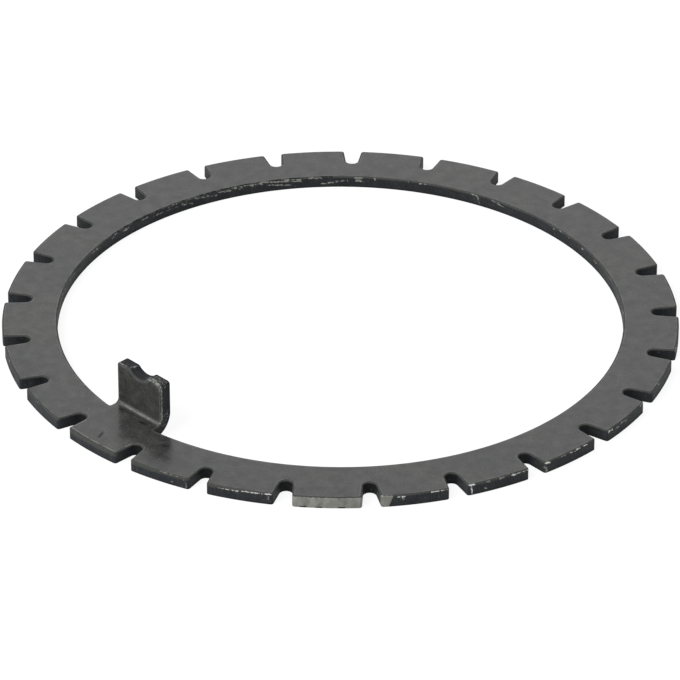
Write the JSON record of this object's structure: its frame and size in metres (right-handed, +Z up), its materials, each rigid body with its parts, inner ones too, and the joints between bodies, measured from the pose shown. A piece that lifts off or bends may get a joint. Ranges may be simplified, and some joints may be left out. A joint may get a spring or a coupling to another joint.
{
  "type": "notched lock washer",
  "caption": "Flat stamped steel lock washer with open notches round its rim and one bent tang at the bore that keys into a spindle groove and keeps a nut from turning.",
  "frame": {"origin": "centre of the bore on the underside, where the ring lies on a surface", "axes": "+Z up along the bore, the way the bent tang points; the tang stands on the -Y side"},
  "size_m": [0.11, 0.11, 0.0093],
  "materials": {
    "blackened_steel": "dark oxide finish, satin, worn bright at a few edges"
  },
  "bodies": {
    "root": {"lock_washer": "blackened_steel"}
  },
  "joints": []
}
